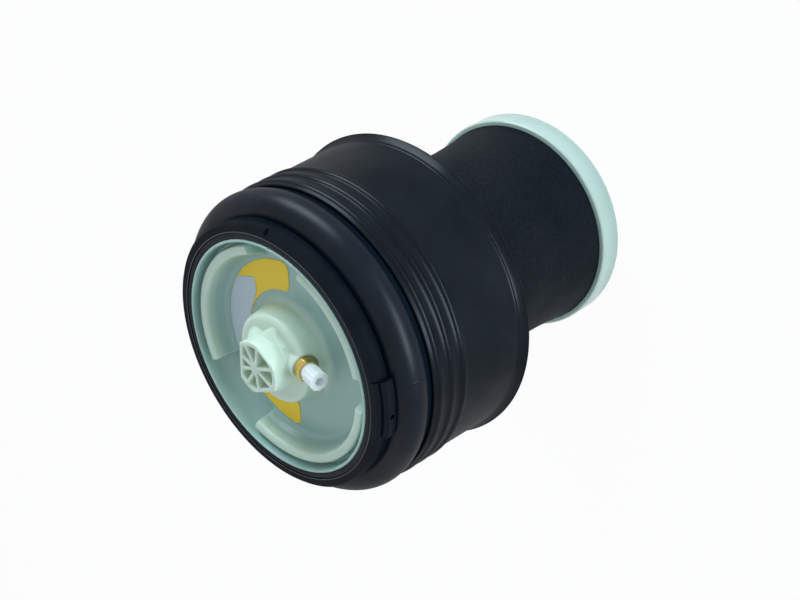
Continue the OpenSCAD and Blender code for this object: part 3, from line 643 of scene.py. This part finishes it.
for part, bodies, low, high in (
    (fold_lower, ("guide", "fold"), guide_holds_z, fold_middle_z),
    (fold_upper, ("fold", "cap"), fold_middle_z, cap_holds_z),
):
    bellows_rubber.put_on(part)
    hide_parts("bellows_fold")
    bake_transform(part)

# Clamp ring of the cap: glass-filled black nylon, pressed over the bellows' upper end. Its bore
# is toothed so that it bites the rubber, and the teeth show as a fine line, painted light grey as a
# highlight.
plain_black.put_on(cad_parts["clamp_ring"])
teeth, tooth_bite = 330, 0.00025


def tooth(turn, radius, z):
    """every second step of the bore's lower edge stands in a little"""
    bites = radius < ring_bore + 0.0005 and z < ring_top_z and round(turn * teeth / math.pi) % 2
    return -tooth_bite if bites else 0.0


teeth_line = beside(ring_bore, ring_top_z, (0.3, -0.2), (0.2, 0.25), (0.7, 0.1), (0.7, -0.2))
teeth_ring = turned("ring_teeth", teeth_line, full_turn(2 * teeth), tooth, smooth=False)
# painted highlight: the teeth are coloured light grey so that they show as a bright line
teeth_highlight = black("teeth_highlight_black", paint(66, 72, 80), lump=0.0006, depth=0.00002, roughness=0.4, shine=0.14)
teeth_highlight.put_on(teeth_ring)
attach(teeth_ring, "cap")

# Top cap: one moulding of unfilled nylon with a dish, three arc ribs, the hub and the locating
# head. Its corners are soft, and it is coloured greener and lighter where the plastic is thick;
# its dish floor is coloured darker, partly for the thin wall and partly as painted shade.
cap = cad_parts["top_cap"]
soft_corners = cap.modifiers.new("soft_corners", "REMESH")
soft_corners.mode = "VOXEL"
soft_corners.voxel_size = 0.00042
soft_corners.use_smooth_shade = True
ease = cap.modifiers.new("ease", "SMOOTH")
ease.factor = 0.5
ease.iterations = 7
hub_radius, hub_foot_radius = 0.0255, 0.031
dish_z, rib_z = 0.2045, 0.213
rib_edge, groove_edge = 0.0606, 0.0612


def cap_thickness_and_shade(finish):
    """0 on the thin floor of the dish and on the rim, 1 on the hub and nearly so on the ribs; the
    dark low end is partly painted shade
    """
    flat = finish.scaled((1, 1, 0))
    reach = finish.node("ShaderNodeVectorMath", {"operation": "LENGTH"}, {0: flat}, "Value")
    hub = 1 - finish.step(reach, hub_radius, hub_foot_radius)
    inside_groove = 1 - finish.step(reach, rib_edge, groove_edge)
    raised = finish.step(height_of(finish), dish_z, rib_z) * inside_groove
    return finish.node("ShaderNodeMath", {"operation": "MAXIMUM"}, {0: hub, 1: raised * 0.8})


# the thin colour, on the dish floor and rim, is partly painted shade
cap_nylon = nylon("cap_nylon", paint(162, 192, 186), paint(213, 229, 211), cap_thickness_and_shade)
cap_nylon.put_on(cap)

# Labels: two plain stickers of coated paper on the dish floor. The yellow one curves around
# the hub, and the white one is pressed over it.
fibre, mottle = 0.0006, 0.006


def paper(name, roughness, shade, lighter):
    """coated paper: faintly mottled, with fine fibres"""
    finish = Finish(name, roughness=roughness)
    finish.feed("Base Color", finish.dye(finish.grain(mottle, detail=4.0), shade, lighter))
    finish.feed("Normal", finish.height(finish.grain(fibre, detail=3.0), depth=0.00001))
    return finish


yellow_paper = paper("yellow_paper", 0.42, paint(255, 206, 16), paint(255, 218, 40))
yellow_paper.put_on(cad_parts["label_yellow"])
white_paper = paper("white_paper", 0.45, paint(192, 203, 216), paint(206, 215, 226))
white_paper.put_on(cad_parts["label_white"])

# Air fitting: a turned brass body screwed into the port, with its seal, and inside it the
# split ring, the seal and the sleeve that hold the air line.
brass = bare_metal("turned_brass", paint(190, 168, 98), 0.17)
brass.put_on(*(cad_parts[name] for name in ("fitting_body", "grip_ring", "support_sleeve")))
seal_black.put_on(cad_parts["port_seal"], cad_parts["tube_seal"])

# Residual pressure valve behind the fitting: a plastic cage, a rubber poppet and a coil of
# steel wire that holds it shut. The coil leans with the port.
plain_black.put_on(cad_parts["valve_cage"])
seal_black.put_on(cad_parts["valve_poppet"])
port_lean = math.radians(15)
coil_turns, turn_steps, wire_steps = 4, 24, 8
coil_radius, wire_radius, coil_long = 0.0016, 0.00022, 0.0030
coil_low, coil_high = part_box("valve_spring")
coil_middle = (Vector(coil_low) + Vector(coil_high)) / 2
push = Vector((math.cos(port_lean), 0, math.sin(port_lean)))
side = Vector((0, 1, 0))
coil_steps = coil_turns * turn_steps
coil_points, coil_faces = [], []
for i in range(coil_steps + 1):
    turn = 2 * math.pi * i / turn_steps
    out = side * math.cos(turn) + push.cross(side) * math.sin(turn)
    for j in range(wire_steps):
        around = 2 * math.pi * j / wire_steps
        off_axis = out * (coil_radius + wire_radius * math.cos(around))
        along_axis = push * (coil_long * (i / coil_steps - 0.5) + wire_radius * math.sin(around))
        coil_points.append(coil_middle + off_axis + along_axis)
        if i < coil_steps:
            here, there = wire_steps * i, wire_steps * (i + 1)
            k = (j + 1) % wire_steps
            coil_faces.append((here + j, here + k, there + k, there + j))
last_ring = wire_steps * coil_steps
coil_faces += [tuple(range(wire_steps)), tuple(range(last_ring, last_ring + wire_steps))]
coil = piece_from("valve_coil", coil_points, coil_faces)
steel.put_on(coil)
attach(coil, "cap")
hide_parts("valve_spring")
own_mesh(coil)

# Transport plug: a fluted stopper of clear soft plastic, pushed into the fitting until the air
# line is connected.
milky = Finish(
    "milky_plastic",
    roughness=0.22,
    transmission_weight=0.12,
    subsurface_weight=0.5,
    subsurface_radius=(1, 1, 1),
    subsurface_scale=0.003,
    ior=1.46,
)
streaks = milky.grain(0.003, detail=3.0)
milky.feed("Base Color", milky.dye(streaks, paint(246, 251, 252), paint(253, 255, 255)))
milky.feed("Normal", milky.height(milky.grain(0.001), depth=0.00002))
milky.put_on(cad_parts["transport_plug"])

low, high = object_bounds()
